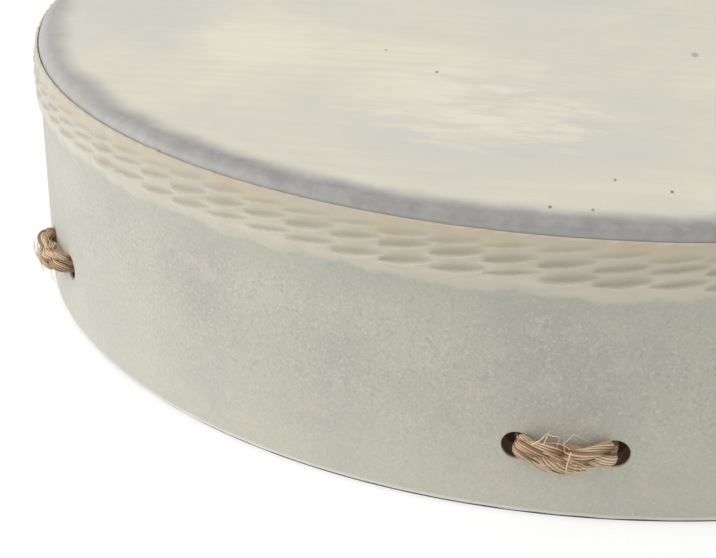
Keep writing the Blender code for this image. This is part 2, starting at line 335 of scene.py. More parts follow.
def colour(*channels):
    return (*map(linear, channels), 1)


def grey(level):
    return (level, level, level, 1)


def ease(share):
    """A share from 0 to 1 with soft ends."""
    return share * share * (3 - 2 * share)


def unit(vectors):
    return vectors / np.linalg.norm(vectors, axis=-1, keepdims=True)


def add_node(tree, kind, sockets=None, **settings):
    """A new shader node with its settings, and with its sockets set or linked."""
    made = tree.nodes.new("ShaderNode" + kind)
    for key, value in settings.items():
        setattr(made, key, value)
    for key, value in (sockets or {}).items():
        if isinstance(value, bpy.types.NodeSocket):
            tree.links.new(value, made.inputs[key])
        else:
            made.inputs[key].default_value = value
    return made


class Recipe:
    """A material put together node by node."""

    def __init__(self, name, roughness, sheen=0.0):
        self.material = bpy.data.materials.new(name)
        self.material.use_nodes = True
        self.tree = self.material.node_tree
        self.shader = self.tree.nodes["Principled BSDF"]
        self.shader.inputs["Roughness"].default_value = roughness
        self.shader.inputs["Sheen Weight"].default_value = sheen
        self.place = self.add("TexCoord").outputs["Object"]

    def add(self, kind, sockets=None, **settings):
        return add_node(self.tree, kind, sockets, **settings)

    def noise(self, where, scale, detail=2.0, rough=0.5, warp=0.0):
        sockets = {"Vector": where, "Scale": scale, "Detail": detail}
        sockets.update({"Roughness": rough, "Distortion": warp})
        return self.add("TexNoise", sockets).outputs["Fac"]

    def stretched(self, where, scale=(1, 1, 1), turn=0.0, shift=(0, 0, 0)):
        sockets = {"Vector": where, "Location": shift, "Rotation": (0, 0, turn), "Scale": scale}
        return self.add("Mapping", sockets).outputs["Vector"]

    def ramp(self, value, *stops):
        """A colour that follows a value, through stops of place, red, green and blue."""
        made = self.add("ValToRGB", {"Fac": value})
        elements = made.color_ramp.elements
        for element, (spot, *channels) in zip(elements, (stops[0], stops[-1])):
            element.position = spot
            element.color = colour(*channels)
        for spot, *channels in stops[1:-1]:
            elements.new(spot).color = colour(*channels)
        return made.outputs["Color"]

    def span(self, value, low, high, to_low=0.0, to_high=1.0):
        sockets = {0: value, 1: low, 2: high, 3: to_low, 4: to_high}
        made = self.add("MapRange", sockets, interpolation_type="SMOOTHSTEP")
        return made.outputs[0]

    def maths(self, operation, *values):
        made = self.add("Math", dict(enumerate(values)), operation=operation)
        return made.outputs[0]

    def distance(self, where, centre):
        made = self.add("VectorMath", {0: where, 1: centre}, operation="DISTANCE")
        return made.outputs["Value"]

    def mix(self, share, first, second):
        made = self.add("Mix", {0: share, 6: first, 7: second}, data_type="RGBA")
        return made.outputs[2]

    def attribute(self, name):
        return self.add("Attribute", attribute_name=name).outputs["Fac"]

    def bump(self, height, strength, distance):
        sockets = {"Height": height, "Strength": strength, "Distance": distance}
        made = self.add("Bump", sockets)
        self.tree.links.new(made.outputs["Normal"], self.shader.inputs["Normal"])

    def finish(self, shade):
        self.tree.links.new(shade, self.shader.inputs["Base Color"])
        return self.material


def plain_felt(look, height):
    """The tone of the grey felt, flecked light and dark."""
    blotch = look.noise(look.place, 26, 3, 0.6)
    tone = look.ramp(blotch, (0.32, 175, 173, 163), (0.5, 182, 181, 167), (0.68, 187, 187, 172))
    tint = look.noise(look.stretched(look.place, (1, 1, 2.2), shift=(0.4, 0.1, 0.7)), 70, 2, 0.5)
    tone = look.mix(look.span(tint, 0.55, 0.75, 0, 0.5), tone, colour(199, 187, 178))
    light = look.noise(look.place, 1100, 2, 0.6)
    tone = look.mix(look.span(light, 0.5, 0.7, 0, 0.42), tone, colour(212, 210, 198))
    dark = look.noise(look.stretched(look.place, shift=(0.2, 0.5, 0.3)), 800, 2, 0.6)
    tone = look.mix(look.span(dark, 0.5, 0.7, 0, 0.5), tone, colour(158, 157, 143))
    tone = look.mix(look.span(height, 0, FELT_FOOT, 0.45, 0), tone, colour(208, 206, 190))
    below = look.span(height, COLLAR_END - COLLAR_SHADE, COLLAR_END, 0, 0.45)
    return look.mix(below, tone, colour(176, 177, 164))


def collar_felt(look, height):
    """The tone of the smooth collar, from cream at its lower end, a painted highlight of the step
    there, to beige, stained by glue above.
    """
    upward = look.span(height, COLLAR_END, sleeve_top)
    # Painted highlight: the cream near the lower end stands for light caught by the step below the
    # collar
    tone = look.ramp(
        upward,
        (0.0, 197, 192, 175),
        (0.12, 202, 197, 180),
        (0.45, 198, 192, 175),
        (0.78, 194, 188, 170),
        (0.95, 190, 182, 161),
    )
    cloud = look.noise(look.stretched(look.place, (1, 1, 3)), 60, 3, 0.6)
    tone = look.mix(look.span(cloud, 0.4, 0.75, 0, 0.45), tone, colour(184, 177, 160))
    stain = look.noise(look.stretched(look.place, (1, 1, 1.5), shift=(0.7, 0.2, 0.1)), 45, 3, 0.6)
    glue = look.maths("MULTIPLY", look.span(stain, 0.45, 0.7), look.span(upward, 0.5, 0.95))
    tone = look.mix(look.maths("MULTIPLY", glue, 0.5), tone, colour(196, 173, 146))
    # Painted shade in the ripples' dents, darker where they sink deeper
    dent_shade = look.attribute("dent_shade")
    return look.mix(look.maths("MULTIPLY", dent_shade, 0.8), tone, colour(168, 163, 143))


def felt_finish():
    """Grey speckled felt that turns into a smooth glued collar near the head."""
    look = Recipe("grey_felt", 0.92, sheen=0.45)
    height = look.add("SeparateXYZ", {0: look.place}).outputs["Z"]
    fuzz = look.noise(look.place, 420, 3, 0.6)
    edge = look.maths("ADD", look.attribute("collar"), look.span(fuzz, 0.2, 0.8, -0.18, 0.18))
    share = look.span(edge, 0.15, 0.85)
    tone = look.mix(share, plain_felt(look, height), collar_felt(look, height))
    # Painted highlight: the cut fibres along the lower edge, where they catch the light, are painted
    # paler
    hem_highlight = look.span(height, HEM_HIGHLIGHT_START, HEM_HIGHLIGHT_END, 0.8, 0)
    tone = look.mix(hem_highlight, tone, colour(222, 221, 210))
    rough = look.noise(look.place, 1300, 3, 0.7)
    soft = look.noise(look.place, 300, 2, 0.5)
    look.bump(look.mix(share, rough, soft), 0.4, COARSE_GRAIN)
    return look.finish(tone)


def film_finish():
    """Milky head film with faint clouds and streaks, specks, and a greyer band over the rim."""
    look = Recipe("head_film", 0.5)
    parts = look.add("SeparateXYZ", {0: look.place})
    clouds = look.noise(look.stretched(look.place, shift=(0.31, 0.12, 0)), 9, 4, 0.6, 0.6)
    tone = look.ramp(clouds, (0.36, 208, 204, 193), (0.5, 215, 211, 196), (0.66, 225, 221, 198))
    streaks = look.noise(look.stretched(look.place, (6, 120, 1), STREAK_TURN), 1.6, 3, 0.6)
    tone = look.mix(look.span(streaks, 0.35, 0.7, 0, 0.3), tone, colour(203, 199, 189))
    rough_edge = look.noise(look.stretched(look.place, (1, 2.2, 1)), 60, 4, 0.65)
    wander = look.span(rough_edge, 0.2, 0.8, -CLOUD_STRAY, CLOUD_STRAY)
    for east, north, size, weight in CLOUDS:
        away = look.maths("ADD", look.distance(look.place, (east, north, DRUM_DEPTH)), wander)
        near = look.span(away, size * 0.2, size, weight, 0)
        tone = look.mix(near, tone, colour(232, 229, 208))
    drawn = look.stretched(look.place, (1, SPECK_SHARE, 1))
    for east, north, size, channels, weight in SPECKS:
        away = look.distance(drawn, (east, north * SPECK_SHARE, DRUM_DEPTH))
        near = look.span(away, size * 0.4, size, weight, 0)
        tone = look.mix(near, tone, colour(*channels))
    # The band over the rim, with painted light that makes it paler at the left, and warmer down by
    # the crease
    flat = look.add("CombineXYZ", {0: parts.outputs["X"], 1: parts.outputs["Y"]})
    reach = look.add("VectorMath", {0: flat.outputs[0]}, operation="LENGTH").outputs["Value"]
    ragged = look.noise(look.place, 55, 3, 0.6)
    stray = look.span(ragged, 0.25, 0.75, -RIM_BAND_RAGGED, RIM_BAND_RAGGED)
    reach = look.maths("ADD", reach, stray)
    fine = look.noise(look.place, 160, 3, 0.65)
    mottle = look.ramp(fine, (0.35, 142, 140, 138), (0.65, 158, 156, 152))
    # Painted light on the left side of the band
    west_light = look.span(parts.outputs["X"], RIM_LIT_FULL, RIM_LIT_END, 0.4, 0)
    mottle = look.mix(west_light, mottle, colour(192, 190, 180))
    tone = look.mix(look.span(reach, RIM_BAND_START, RIM_BAND_FULL), tone, mottle)
    drop = look.span(parts.outputs["Z"], DRUM_DEPTH - FELT_TOP, DRUM_DEPTH - CREASE_SHADE, 0.4, 0)
    tone = look.mix(drop, tone, colour(168, 169, 158))
    grain = look.noise(look.stretched(look.place, (20, 160, 20), STREAK_TURN), 3, 3, 0.6)
    look.bump(grain, 0.15, FINE_GRAIN)
    return look.finish(tone)


def board_finish():
    """Brown fibre board with fine fibres and darker blotches, grey along its back edge."""
    look = Recipe("fibre_board", 0.85)
    fibres = look.noise(look.stretched(look.place, (1, 1, 3)), 380, 4, 0.7)
    tone = look.ramp(fibres, (0.3, 70, 54, 42), (0.55, 88, 70, 56), (0.75, 110, 92, 74))
    blotch = look.noise(look.place, 30, 3, 0.6)
    tone = look.mix(look.span(blotch, 0.45, 0.75, 0, 0.45), tone, colour(74, 58, 46))
    height = look.add("SeparateXYZ", {0: look.place}).outputs["Z"]
    grey_edge = look.span(height, BACK_GREY_FULL, BACK_GREY_END, 0.85, 0)
    tone = look.mix(grey_edge, tone, colour(92, 90, 84))
    look.bump(fibres, 0.35, COARSE_GRAIN)
    return look.finish(tone)


def fibre_finish(name, darks, mids, lights):
    """Plant fibres that run along a strand, in a UV map of around and along, with painted shade
    where they lie deep.
    """
    look = Recipe(name, 0.72, sheen=0.1)
    grid = look.add("UVMap").outputs["UV"]
    fibres = look.noise(look.stretched(grid, FIBRE_STRETCH), 2.0, 4, 0.7, 0.3)
    own = look.maths("MULTIPLY", look.attribute("tone"), 0.38)
    streak = look.maths("ADD", look.maths("MULTIPLY", fibres, 0.62), own)
    tone = look.ramp(streak, (0.32, *darks), (0.45, *mids), (0.60, *lights))
    red = look.noise(look.stretched(grid, RED_STRETCH, shift=(3, 7, 0)), 2.0, 3, 0.6)
    tone = look.mix(look.span(red, 0.53, 0.68, 0, 0.8), tone, colour(162, 108, 80))
    # Painted shade: dark brown where the fibres lie deep between the strands and between the ridges
    depth = look.attribute("depth")
    tone = look.mix(look.maths("MULTIPLY", depth, 0.9), tone, colour(62, 38, 24))
    look.bump(fibres, 0.5, FINE_GRAIN)
    return look.finish(tone)


def piece(name, points, faces, finish, uv=None, values=None):
    """Add a smooth mesh from points and faces, with optional UV and point values."""
    mesh = bpy.data.meshes.new(name)
    mesh.from_pydata([tuple(p) for p in points], [], faces)
    mesh.materials.append(finish)
    if uv is not None:
        layer = mesh.uv_layers.new(name="UVMap")
        corners = np.zeros(len(mesh.loops), np.int32)
        mesh.loops.foreach_get("vertex_index", corners)
        layer.data.foreach_set("uv", np.asarray(uv, np.float32)[corners].ravel())
    for key, value in (values or {}).items():
        made = mesh.attributes.new(key, "FLOAT", "POINT")
        made.data.foreach_set("value", np.asarray(value, np.float32))
    shape = bmesh.new()
    shape.from_mesh(mesh)
    bmesh.ops.recalc_face_normals(shape, faces=shape.faces)
    shape.to_mesh(mesh)
    shape.free()
    mesh.shade_smooth()
    made = bpy.data.objects.new(name, mesh)
    bpy.context.scene.collection.objects.link(made)
    return made


def joined(parts):
    """Several (points, faces, uv, values) as one."""
    points, faces, uv, values = [], [], [], {}
    start = 0
    for part_points, part_faces, part_uv, part_values in parts:
        points.append(part_points)
        faces += [tuple(start + corner for corner in face) for face in part_faces]
        uv.append(part_uv)
        for key, value in part_values.items():
            values.setdefault(key, []).append(value)
        start += len(part_points)
    values = {key: np.concatenate(value) for key, value in values.items()}
    return np.vstack(points), faces, np.vstack(uv), values


def rotated(part, angle):
    points, faces, uv, values = part
    spin = np.array(Matrix.Rotation(angle, 3, "Z"))
    return points @ spin.T, faces, uv, values


def lattice(rows, columns, closed):
    """Quads over rows of points in rings, where closed joins the last row to the first."""
    faces = []
    for row in range(rows if closed else rows - 1):
        after = (row + 1) % rows
        for column in range(columns):
            beside = (column + 1) % columns
            faces.append(
                (
                    row * columns + column,
                    row * columns + beside,
                    after * columns + beside,
                    after * columns + column,
                )
            )
    return faces


def waves(angle, seed, low, high, count):
    """A ragged periodic line of about unit height round the drum."""
    random = np.random.default_rng(seed)
    total = np.zeros_like(angle)
    for _ in range(count):
        total += np.sin(random.integers(low, high) * angle + random.uniform(0, tau))
    return total / np.sqrt(count / 2)


def arc(centre, radius, start, end, steps):
    angles = np.radians(np.linspace(start, end, steps + 1))
    return [(centre[0] + radius * cos(a), centre[1] + radius * sin(a)) for a in angles]


def ring_points(angles, radii, heights):
    """Points at azimuths, for a radius and a height or an array of each."""
    places = [radii * np.sin(angles), -radii * np.cos(angles), heights + 0 * angles]
    return np.stack(places, axis=-1)


def turned(outline, closed):
    """Points and quads of an outline of radius and height, turned round the drum's axis."""
    angles = np.linspace(0, tau, HOOP_STEPS, endpoint=False)
    points = np.vstack([ring_points(angles, r, z) for r, z in outline])
    return points, lattice(len(outline), HOOP_STEPS, closed)


def drill():
    """Cutter for all the rope holes."""
    middle = (hoop_inside + sleeve_outside) / 2
    lie = Matrix.Translation((0, -middle, WEB_HEIGHT)) @ Matrix.Rotation(pi / 2, 4, "X")
    shape = bmesh.new()
    for number in range(PAIRS):
        for side in (-hole_angle, hole_angle):
            bmesh.ops.create_cone(
                shape,
                cap_ends=True,
                segments=HOLE_SEGMENTS,
                radius1=HOLE_RADIUS,
                radius2=HOLE_RADIUS,
                depth=SHELL_WALL + FELT + 6 * HOLE_RADIUS,
                matrix=Matrix.Rotation(tau * number / PAIRS + side, 4, "Z") @ lie,
            )
    mesh = bpy.data.meshes.new("hole_cutter")
    shape.to_mesh(mesh)
    shape.free()
    cutter = bpy.data.objects.new("hole_cutter", mesh)
    bpy.context.scene.collection.objects.link(cutter)
    return cutter


def cut(obj, cutter):
    """Cut the rope holes for good and keep the surface smooth between its edges."""
    change = obj.modifiers.new("rope_holes", "BOOLEAN")
    change.operation = "DIFFERENCE"
    change.solver = "EXACT"
    change.object = cutter
    bpy.context.view_layer.update()
    evaluated = obj.evaluated_get(bpy.context.evaluated_depsgraph_get())
    mesh = bpy.data.meshes.new_from_object(evaluated)
    obj.modifiers.clear()
    obj.data = mesh
    mesh.shade_smooth()
    mesh.set_sharp_from_angle(angle=SMOOTH_ANGLE)


def shell(finish, cutter):
    """The board hoop, with eased corners and a round bearing edge."""
    outline = [
        (hoop_inside + EDGE_EASE, 0),
        (DRUM_RADIUS - BACK_EASE, 0),
        (DRUM_RADIUS, BACK_EASE),
        (DRUM_RADIUS, WEB_HEIGHT),
        (DRUM_RADIUS, hoop_top / 2),
        *arc(bend, BEARING_ROUND, 0, 90, BOARD_BEND_STEPS),
        (hoop_inside + EDGE_EASE, hoop_top),
        (hoop_inside, hoop_top - EDGE_EASE),
        (hoop_inside, hoop_top / 2),
        (hoop_inside, WEB_HEIGHT),
        (hoop_inside, EDGE_EASE),
    ]
    points, faces = turned(outline, True)
    made = piece("board_shell", points, faces, finish)
    cut(made, cutter)
    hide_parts("shell_hoop")
    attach(made, "drum")


def head(finish):
    """The film, flat and bent over the bearing edge into its skirt."""
    flat_end = bend[0] - FILM_BEND_LEAD
    upper = [(r, DRUM_DEPTH) for r in np.linspace(FILM_MIDDLE, flat_end, FILM_RINGS)]
    upper += arc(bend, BEARING_ROUND + GAP + FILM, 90, 0, FILM_BEND_STEPS)
    upper += [(skirt_outside, folds_top), (skirt_outside, skirt_end)]
    lower = [(skirt_inside, skirt_end), *arc(bend, BEARING_ROUND + GAP, 0, 90, FILM_BEND_STEPS)]
    under = np.linspace(flat_end, FILM_MIDDLE, FILM_UNDER_RINGS)
    lower += [(r, DRUM_DEPTH - FILM) for r in under]
    outline = upper + lower
    points, faces = turned(outline, False)
    hub = len(points)
    points = np.vstack([points, [(0, 0, DRUM_DEPTH)], [(0, 0, DRUM_DEPTH - FILM)]])
    last_ring = (len(outline) - 1) * HOOP_STEPS
    for step in range(HOOP_STEPS):
        after = (step + 1) % HOOP_STEPS
        faces.append((step, after, hub))
        faces.append((last_ring + after, last_ring + step, hub + 1))
    made = piece("milky_film", points, faces, finish)
    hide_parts("head_film")
    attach(made, "drum")


def ripples(angle, height):
    """How far the sleeve sinks between the folds beneath it, and how much painted shade each dent
    gets, 0 to 1.
    """
    pitch = tau / RIPPLES
    depth = np.zeros_like(angle)
    dent_shade = np.zeros_like(angle)
    random = np.random.default_rng(7)
    for start, rise, phase, deep, half in RIPPLE_ROWS:
        lifts = random.normal(0, RIPPLE_LIFT, RIPPLES)
        sizes = random.uniform(*RIPPLE_SIZES, RIPPLES)
        shifts = random.normal(0, RIPPLE_SHIFT, RIPPLES)
        turn = angle / pitch - phase
        for ahead in (-1, 0):
            index = np.floor(turn).astype(int) + ahead
            here = index % RIPPLES
            share = (turn - index - shifts[here] + RIPPLE_LEAD) / RIPPLE_LENGTH
            inside = np.clip(share, 0, 1)
            swell = np.sin(pi * inside)
            middle = start + lifts[here] + rise * inside
            tall = half * sizes[here] * (RIPPLE_END + (1 - RIPPLE_END) * swell)
            offset = (height - middle) / tall
            # It sinks slowly from above and comes out again in a short step below
            slope = np.clip((DENT_TOP - offset) / DENT_FALL, 0, 1)
            step = np.clip((offset - DENT_FOOT) / DENT_STEP, 0, 1)
            form = ease(slope) * ease(step)
            shown = swell**0.4 * ((share > 0) & (share < 1))
            crest = np.exp(-(((offset - CREST_PLACE) / CREST_WIDTH) ** 2))
            depth += deep * sizes[here] * shown * (form - CREST_SHARE * crest)
            # The painted shade of a dent, strongest where it sinks
            dark = np.clip(form * 1.25 - 0.25, 0, 1) * shown * min(1, deep / SHADED_DEPTH)
            dent_shade = np.maximum(dent_shade, dark)
    return depth, np.clip(dent_shade, 0, 1)


def sleeve(finish, cutter):
    """The felt sleeve, rippled where it lies over the head's folds."""
    over = skirt_outside + GAP
    slope_start = skirt_end - GAP - FELT_SLOPE
    corners = np.array(
        [
            (sleeve_inside, FELT_HEM),
            (sleeve_inside, slope_start),
            (over, skirt_end - GAP),
            (over + FOLDS, skirt_end + FOLD_TAPER),
            (over + FOLDS, folds_top - FOLD_TAPER),
            (over, folds_top),
            (over, sleeve_top),
        ]
    )
    lower = np.linspace(FELT_HEM, slope_start, FELT_ROWS)
    upper = np.linspace(slope_start, sleeve_top - LIP_DROP, COLLAR_ROWS)[1:]
    heights = np.concatenate([lower, upper])
    angles = np.linspace(0, tau, SLEEVE_STEPS, endpoint=False)
    grid_angle, grid_height = np.meshgrid(angles, heights)
    # The cloth rounds the corners under it
    spots = np.linspace(-CLOTH_ROUND, CLOTH_ROUND, 7)
    followed = [np.interp(heights + spot, corners[:, 1], corners[:, 0]) for spot in spots]
    sink, dent_shade = ripples(grid_angle, grid_height)
    outer = np.mean(followed, axis=0)[:, None] + FELT - sink
    outer += COLLAR_UNEVEN * waves(angles, 3, 20, 160, 14) * (grid_height > UNEVEN_START)
    edge_lift = TOP_RAGGED * waves(angles, 5, 30, 260, 16)
    grid_height[-1] += edge_lift
    grid_height[0] += HEM_RAGGED * waves(angles, 9, 12, 120, 12)
    outside = ring_points(grid_angle, outer, grid_height).reshape(-1, 3)
    lip = ring_points(angles, over + FELT / 2, sleeve_top + edge_lift)
    inner_rows = [ring_points(angles, min(r, over), z) for r, z in corners[::-1]]
    points = np.vstack([outside, lip, *inner_rows])
    faces = lattice(len(points) // SLEEVE_STEPS, SLEEVE_STEPS, True)
    ragged = COLLAR_RAGGED * waves(angles, 11, 12, 110, 16)
    collar = np.clip((grid_height - COLLAR_END - ragged) / COLLAR_BLEND + 0.5, 0, 1)
    rest = len(points) - len(outside)
    values = {
        "dent_shade": np.concatenate([dent_shade.ravel(), np.zeros(rest)]),
        "collar": np.concatenate([collar.ravel(), np.ones(rest)]),
    }
    made = piece("felt_cover", points, faces, finish, values=values)
    cut(made, cutter)
    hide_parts("felt_sleeve")
    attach(made, "drum")


def in_hole(distance, radius):
    """Where the rope crosses the shell at this distance from the drum's axis."""
    outward = distance * cos(hole_angle) + rope_offset * sin(hole_angle)
    sideways = distance * sin(hole_angle) - rope_offset * cos(hole_angle)
    return outward, sideways, 0, radius


def rope_side():
    """Half of a rope loop, in rows of outward, sideways, height above the web, and radius."""
    mouth = in_hole(sleeve_outside, PINCHED_RADIUS)
    leg = in_hole(hoop_inside - LEG_LEAD, ROPE_RADIUS)
    rows = [
        (stitch_outward, mouth[1] / 3, MIDDLE_RISE * STITCH_RISE, ROPE_RADIUS),
        (mouth[0] + STITCH_REACH, mouth[1] - STITCH_LEAN, STITCH_RISE, SHOULDER_RADIUS),
        (*mouth[:2], MOUTH_RISE * STITCH_RISE, mouth[3]),
        in_hole(hoop_inside, PINCHED_RADIUS),
        leg,
    ]
    leg_end = seizing_start + seizing_length + SEIZING_PITCH
    for share in LEG_SHARES:
        outward = leg[0] + share * (leg_end - leg[0])
        rise = 1 - (1 - share) ** 2
        rows.append((outward, (1 - share) * leg[1], rise * leg_height, ROPE_RADIUS))
    rows.append((seizing_start - SEIZING_PITCH / 2, 0, leg_height, ROPE_RADIUS))
    away = (seizing_start - GRIP_RADIUS, leg_height)
    tangent = atan2(away[1], away[0]) + acos(eye_round / hypot(*away))
    for angle in np.linspace(tangent, pi, EYE_STEPS, endpoint=False):
        outward = GRIP_RADIUS + eye_round * cos(angle)
        rows.append((outward, 0, eye_round * sin(angle), ROPE_RADIUS))
    return rows


def rope_route():
    """A whole loop, which leaves one hole over the grip and comes back under it to the other."""
    over = np.array(rope_side())
    under = over[::-1] * (1, -1, -1, 1)
    # Outside the hoop both halves bow up
    outside = under[:, 0] > hoop_inside + GAP
    under[outside, 2] *= -1
    stitch = (stitch_outward, 0, 0, ROPE_RADIUS)
    bight = (GRIP_RADIUS - eye_round, 0, 0, ROPE_RADIUS)
    return np.vstack([stitch, over, bight, under])


def smooth(route):
    """Points close together on a smooth closed curve through the route's rows."""
    ahead = np.roll(route, -1, axis=0) - route
    span = np.sqrt(np.linalg.norm(ahead[:, :3], axis=1))[:, None]
    before = np.roll(span, 1, axis=0)
    slope = (np.roll(ahead / span, 1, axis=0) * span + ahead / span * before) / (span + before)
    share = np.linspace(0, 1, ROUTE_SAMPLES, endpoint=False)[:, None]
    rest = 1 - share
    made = []
    for here in range(len(route)):
        after = (here + 1) % len(route)
        made.append(
            (1 + 2 * share) * rest**2 * route[here]
            + share * rest**2 * span[here] * slope[here]
            + share**2 * (3 - 2 * share) * route[after]
            - share**2 * rest * span[here] * slope[after]
        )
    return np.vstack(made)


def evenly(points, step, closed):
    """The same line with points a step apart, the distance along it, and its length."""
    line = np.vstack([points, points[:1]]) if closed else points
    along = np.append(0, np.cumsum(np.linalg.norm(np.diff(line[:, :3], axis=0), axis=1)))
    count = max(4, round(along[-1] / step))
    wanted = np.linspace(0, along[-1], count, endpoint=not closed)
    made = np.column_stack([np.interp(wanted, along, line[:, k]) for k in range(line.shape[1])])
    return made, wanted, along[-1]


def squared(points, closed, across=None):
    """Two directions square to a line and to each other, at each of its points."""
    if closed:
        ways = unit(np.roll(points, -1, axis=0) - np.roll(points, 1, axis=0))
    else:
        ways = unit(np.gradient(points, axis=0))
    if across is None:
        across = np.zeros_like(points)
        start = np.eye(3)[np.argmin(abs(ways[0]))]
        across[0] = unit(start - ways[0] * (start @ ways[0]))
        for k in range(1, len(points)):
            across[k] = unit(across[k - 1] - ways[k] * (across[k - 1] @ ways[k]))
    else:
        across = unit(across - ways * (across * ways).sum(axis=1, keepdims=True))
    return across, np.cross(ways, across)


def fibre_pattern(run, phase, seed):
    """How high and how light the fibre under each point is, each 0 to 1."""
    random = np.random.default_rng(seed)
    spans = max(2, int(run[-1] / FIBRE_RUN))
    lifts = random.uniform(0, 1, (spans + 2, FIBRES))
    tones = random.uniform(0, 1, (spans + 2, FIBRES))
    lifts[spans:], tones[spans:] = lifts[:2], tones[:2]
    fibre = np.floor(phase).astype(int) % FIBRES
    spot = run / run[-1] * spans
    near = np.minimum(spot.astype(int), spans)
    part = ease((spot - near)[:, None])
    near = near[:, None]
    lift = (1 - part) * lifts[near, fibre] + part * lifts[near + 1, fibre]
    own = (1 - part) * tones[near, fibre] + part * tones[near + 1, fibre]
    return lift, own


def between_strands(rings, line, radius):
    """How deep each point lies in a plait along a line, 0 to 1."""
    share = np.linalg.norm(rings - line[:, None], axis=2) / radius[:, None]
    return np.clip((0.72 - share) / 0.5, 0, 1)


def tube(points, radii, sides, closed, seed=0, tone=0.5, across=None, plait=None, wind=0):
    """A strand along points as (points, faces, uv, values), ridged with fibres in a plait."""
    across, aside = squared(points, closed, across)
    flat = STRAND_FLAT if plait else 1
    ridges = STRAND_RIDGES if plait else 0
    angles = np.linspace(0, tau, sides, endpoint=False)
    run = np.append(0, np.cumsum(np.linalg.norm(np.diff(points, axis=0), axis=1)))
    phase = angles[None, :] * FIBRES / tau + 0 * run[:, None]
    lift, own = fibre_pattern(run, phase, seed)
    scallop = np.sqrt(np.clip(1 - (2 * (phase - np.floor(phase)) - 1) ** 2, 0, 1))
    size = np.asarray(radii)[:, None] * (1 + ridges * (0.5 * scallop + 0.8 * lift - 0.9))
    spun = angles + (tau * wind * np.arange(len(points)) / len(points))[:, None]
    rings = (
        points[:, None]
        + (size * np.cos(spun) * flat)[..., None] * across[:, None]
        + (size * np.sin(spun) / flat)[..., None] * aside[:, None]
    )
    made = rings.reshape(-1, 3)
    faces = lattice(len(points), sides, closed)
    if not closed:
        faces.append(tuple(range(sides)))
        faces.append(tuple(len(made) - 1 - k for k in range(sides)))
    uv = np.column_stack([phase.ravel(), np.repeat(run / FIBRE_RUN, sides)])
    if plait:
        # How deep a point lies between ridges and between strands, for the painted shade there
        gap = np.clip(1 - 1.8 * scallop, 0, 1) * 0.9 + np.clip(0.4 - lift, 0, 1)
        crevice_shade = np.clip(between_strands(rings, *plait) + gap, 0, 1)
    else:
        crevice_shade = np.zeros(own.shape)
        own = np.full(own.shape, tone)
    return made, faces, uv, {"depth": crevice_shade.ravel(), "tone": own.ravel()}


def rope_parts(seed):
    """Three plaited strands along a loop's route, in the front loop's place."""
    route, along, length = evenly(smooth(rope_route()), ROPE_SAMPLE, True)
    outward, sideways, height, radius = route.T
    line = np.column_stack([sideways, -outward, height + WEB_HEIGHT])
    # The plait stands on edge outside and in the holes, and lies flat round the grip
    lay = ease(np.clip((outward - FLAT_REACH) / (EDGE_REACH - FLAT_REACH), 0, 1))[:, None]
    broad = lay * np.array((0, 0, 1)) + (1 - lay) * np.array((1, 0, 0))
    across, aside = squared(line, True, broad)
    periods = round(length / PLAIT_PERIOD)
    # Outside the sleeve the plait springs open
    loose = np.clip((outward - sleeve_outside) / STITCH_REACH, 0, 1)
    size = radius / ROPE_RADIUS * (1 + LOOSE_SIZE * loose)
    winds = round(length / FIBRE_WIND)
    parts = []
    for strand in range(3):
        turn = tau * (periods * along / length + strand / 3)
        sway = PLAIT_WIDTH * radius * (1 + LOOSE_SWING * loose) * np.sin(turn)
        dip = PLAIT_THICKNESS * radius * np.sin(2 * turn)
        centre = line + sway[:, None] * across + dip[:, None] * aside
        uneven = 1 + STRAND_UNEVEN * np.sin(3.1 * turn + seed + strand)
        thick = STRAND_SIZE * ROPE_RADIUS * size * uneven
        own_seed = seed * 10 + strand
        parts.append(
            tube(
                centre,
                thick,
                STRAND_SIDES,
                True,
                own_seed,
                across=across,
                plait=(line, radius),
                wind=winds,
            )
        )
    return parts


def hair(path, thickness, tone=LOOSE_TONE):
    """A loose fibre through a few (outward, sideways, height), thinner towards its end."""
    points = np.array([(side, -out, height) for out, side, height in path], float)
    count = HAIR_SPOTS * len(points)
    wanted = np.linspace(0, len(points) - 1, count)
    line = np.column_stack([np.interp(wanted, range(len(points)), points[:, k]) for k in range(3)])
    for _ in range(HAIR_SMOOTHING):
        line[1:-1] = (line[:-2] + 2 * line[1:-1] + line[2:]) / 4
    radii = thickness * (1 - 0.75 * np.linspace(0, 1, count) ** 1.5)
    return tube(line, radii, HAIR_SIDES, False, tone=tone)


def surface_fibre(random):
    """A fibre that lies aslant on the face of the stitch, a little bowed."""
    side = random.uniform(*SURFACE_SIDE)
    rise = random.uniform(*SURFACE_RISE)
    run = random.uniform(*SURFACE_RUN)
    fall = min(run * random.uniform(*SURFACE_FALL), rise - SURFACE_LOWEST)
    bow = random.uniform(-SURFACE_BOW, SURFACE_BOW)
    path = []
    for share in np.linspace(0, 1, 5):
        level = rise - fall * share
        face = np.sqrt(max(0, 1 - (level / (1.35 * ROPE_RADIUS)) ** 2)) * 1.06 * ROPE_RADIUS
        lift = bow * (1 - (2 * share - 1) ** 2)
        out = stitch_outward + face - 0.0002
        path.append((out, side + run * share, WEB_HEIGHT + level + lift))
    return hair(path, random.uniform(*SURFACE_THICKNESS), random.uniform(*SURFACE_TONES))


def stray_fibre(random):
    """A fibre that stands out of the stitch, mostly downwards."""
    side = random.uniform(-STRAY_SIDE, STRAY_SIDE)
    up = random.choice((-1, 1), p=(0.8, 0.2))
    out = sleeve_outside + random.uniform(*STRAY_OUT)
    path = [(out, side, WEB_HEIGHT + up * STRAY_START)]
    for _ in range(random.integers(2, 5)):
        out = max(sleeve_outside + 0.0006, out + random.normal(0, 0.001))
        side += random.normal(0, 0.0025)
        path.append((out, side, path[-1][2] + up * random.uniform(*STRAY_CLIMB)))
    return hair(path, random.uniform(*STRAY_THICKNESS))


